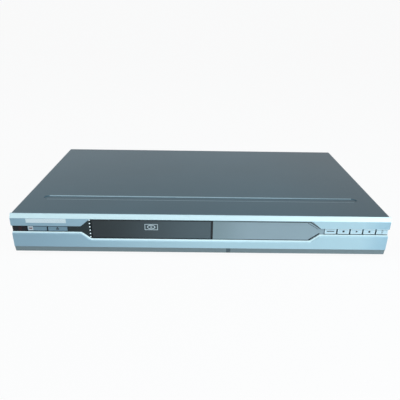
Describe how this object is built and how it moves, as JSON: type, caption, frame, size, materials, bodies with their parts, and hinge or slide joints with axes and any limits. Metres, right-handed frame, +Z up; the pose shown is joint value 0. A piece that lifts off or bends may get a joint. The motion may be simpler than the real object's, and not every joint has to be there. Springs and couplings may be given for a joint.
{
  "type": "dvd recorder",
  "caption": "Slim disc recorder with a waisted silver front, a sheet metal cover, sockets at the back and a motor driven disc tray with its loading drive.",
  "frame": {"origin": "on the table, under the middle of the box round the whole recorder", "axes": "+X to the right of someone who faces the front, +Y from the front to the back, +Z up"},
  "size_m": [0.4326, 0.254, 0.053],
  "materials": {
    "silver_front": "satin silver",
    "silver_keys": "satin silver",
    "smoked_window": "gloss",
    "dark_window": "gloss",
    "dark_trim": "satin",
    "door_grey": "satin",
    "cover_paint": "fine texture",
    "zinc_sheet": "zinc plated",
    "black_plastic": "moulded",
    "foot_rubber": "matt",
    "screw_steel": "plated",
    "board_green": "satin",
    "tube_glass": "clear",
    "chip_black": "matt",
    "fin_aluminium": "satin",
    "can_sleeve": "gloss",
    "core_ferrite": "matt",
    "socket_white": "moulded",
    "cable_white": "satin",
    "tin_plate": "tinned",
    "drive_grey": "moulded",
    "gear_nylon": "moulded",
    "belt_rubber": "matt",
    "motor_steel": "plated",
    "sled_metal": "cast",
    "rod_steel": "ground",
    "lens_clear": "clear"
  },
  "bodies": {
    "case": {"chassis_pan": "zinc_sheet", "rear_panel": "zinc_sheet", "top_cover": "cover_paint", "front_bezel": "silver_front", "window_end_trim": "dark_trim", "ir_window": "dark_window", "display_window": "smoked_window", "feet": "black_plastic", "foot_pads": "foot_rubber", "case_screws": "screw_steel", "inner_screws": "screw_steel", "main_board": "board_green", "power_board": "board_green", "key_board": "board_green", "front_board": "board_green", "button_switches": "chip_black", "display_tube": "tube_glass", "ir_receiver": "chip_black", "main_components": "chip_black", "main_heatsink": "fin_aluminium", "power_capacitors": "can_sleeve", "power_transformer": "core_ferrite", "power_heatsink": "fin_aluminium", "cable_sockets": "socket_white", "front_cable": "cable_white", "rca_sockets": "black_plastic", "tuner_box": "tin_plate", "small_sockets": "black_plastic", "ac_inlet": "black_plastic", "fan_frame": "black_plastic", "drive_frame": "drive_grey", "loading_motor": "motor_steel", "drive_belt": "belt_rubber", "clamp_bridge": "tin_plate"},
    "tray": {"disc_tray": "drive_grey", "tray_front": "door_grey"},
    "lift": {"lift_frame": "drive_grey", "traverse_plate": "tin_plate", "rubber_dampers": "belt_rubber", "spindle_motor": "motor_steel", "guide_rods": "rod_steel", "sled_motor": "motor_steel"},
    "sled": {"laser_sled": "sled_metal", "pickup_lens": "lens_clear"},
    "turntable": {"turntable": "drive_grey"},
    "lead_screw": {"lead_screw": "rod_steel"},
    "clamp_puck": {"clamp_puck": "drive_grey"},
    "cam_slider": {"cam_slider": "gear_nylon"},
    "drive_gear": {"drive_gear": "gear_nylon"},
    "belt_gear": {"belt_gear": "gear_nylon"},
    "motor_pulley": {"motor_pulley": "gear_nylon"},
    "fan_rotor": {"fan_rotor": "black_plastic"},
    "power_button": {"power_button": "silver_keys"},
    "open_close_button": {"open_close_button": "silver_keys"},
    "input_button": {"input_button": "silver_keys"},
    "stop_button": {"stop_button": "silver_keys"},
    "play_button": {"play_button": "silver_keys"},
    "record_button": {"record_button": "silver_keys"},
    "channel_button": {"channel_button": "silver_keys"}
  },
  "joints": [
    {"name": "tray_slide", "type": "slide", "parent": "case", "child": "tray", "axis": [0, -1, 0], "range_m": [0, 0.136]},
    {"name": "drive_gear_turn", "type": "hinge", "parent": "case", "child": "drive_gear", "pos_m": [-0.0209, -0.0935, 0.0203], "axis": [0, 0, 1], "range_deg": [-559, 0]},
    {"name": "belt_gear_turn", "type": "hinge", "parent": "case", "child": "belt_gear", "pos_m": [-0.03942, -0.09773, 0.0203], "axis": [0, 0, 1], "range_deg": [0, 1561]},
    {"name": "motor_pulley_turn", "type": "hinge", "parent": "case", "child": "motor_pulley", "pos_m": [-0.0769, -0.09773, 0.0203], "axis": [0, 0, 1], "range_deg": [0, 4019]},
    {"name": "traverse_lift", "type": "hinge", "parent": "case", "child": "lift", "pos_m": [-0.0569, 0.0442, 0.021], "axis": [1, 0, 0], "range_deg": [-4.4, 0]},
    {"name": "cam_slide", "type": "slide", "parent": "case", "child": "cam_slider", "axis": [1, 0, 0], "range_m": [0, 0.02]},
    {"name": "turntable_spin", "type": "hinge", "parent": "lift", "child": "turntable", "pos_m": [-0.0569, -0.0555, 0.01333], "axis": [0, -0.0767, 0.9971], "continuous": true},
    {"name": "puck_spin", "type": "hinge", "parent": "case", "child": "clamp_puck", "pos_m": [-0.0569, -0.0558, 0.04], "axis": [0, 0, 1], "continuous": true},
    {"name": "sled_slide", "type": "slide", "parent": "lift", "child": "sled", "axis": [0, 0.9971, 0.0767], "range_m": [0, 0.034]},
    {"name": "lead_screw_turn", "type": "hinge", "parent": "lift", "child": "lead_screw", "pos_m": [-0.0229, 0.04412, 0.022], "axis": [0, 0.9971, 0.0767], "range_deg": [0, 4083]},
    {"name": "fan_spin", "type": "hinge", "parent": "case", "child": "fan_rotor", "pos_m": [-0.0569, 0.108, 0.0293], "axis": [0, 1, 0], "continuous": true},
    {"name": "power_button_press", "type": "slide", "parent": "case", "child": "power_button", "axis": [0, 1, 0], "range_m": [0, 0.0006], "stiffness_N_per_m": 1000},
    {"name": "open_close_button_press", "type": "slide", "parent": "case", "child": "open_close_button", "axis": [0, 1, 0], "range_m": [0, 0.0006], "stiffness_N_per_m": 1000},
    {"name": "input_button_press", "type": "slide", "parent": "case", "child": "input_button", "axis": [0, 1, 0], "range_m": [0, 0.0006], "stiffness_N_per_m": 1000},
    {"name": "stop_button_press", "type": "slide", "parent": "case", "child": "stop_button", "axis": [0, 1, 0], "range_m": [0, 0.0006], "stiffness_N_per_m": 1000},
    {"name": "play_button_press", "type": "slide", "parent": "case", "child": "play_button", "axis": [0, 1, 0], "range_m": [0, 0.0006], "stiffness_N_per_m": 1000},
    {"name": "record_button_press", "type": "slide", "parent": "case", "child": "record_button", "axis": [0, 1, 0], "range_m": [0, 0.0006], "stiffness_N_per_m": 1000},
    {"name": "channel_button_press", "type": "slide", "parent": "case", "child": "channel_button", "axis": [0, 1, 0], "range_m": [0, 0.0006], "stiffness_N_per_m": 1000}
  ],
  "couplings": [
    {"joint": "drive_gear_turn", "follows": "tray_slide", "rad_per_m": -71.429},
    {"joint": "belt_gear_turn", "follows": "tray_slide", "rad_per_m": 200},
    {"joint": "motor_pulley_turn", "follows": "tray_slide", "rad_per_m": 515.49},
    {"joint": "cam_slide", "follows": "traverse_lift", "m_per_rad": -0.26044},
    {"joint": "puck_spin", "follows": "turntable_spin", "ratio": 1},
    {"joint": "lead_screw_turn", "follows": "sled_slide", "rad_per_m": 2094.4}
  ]
}
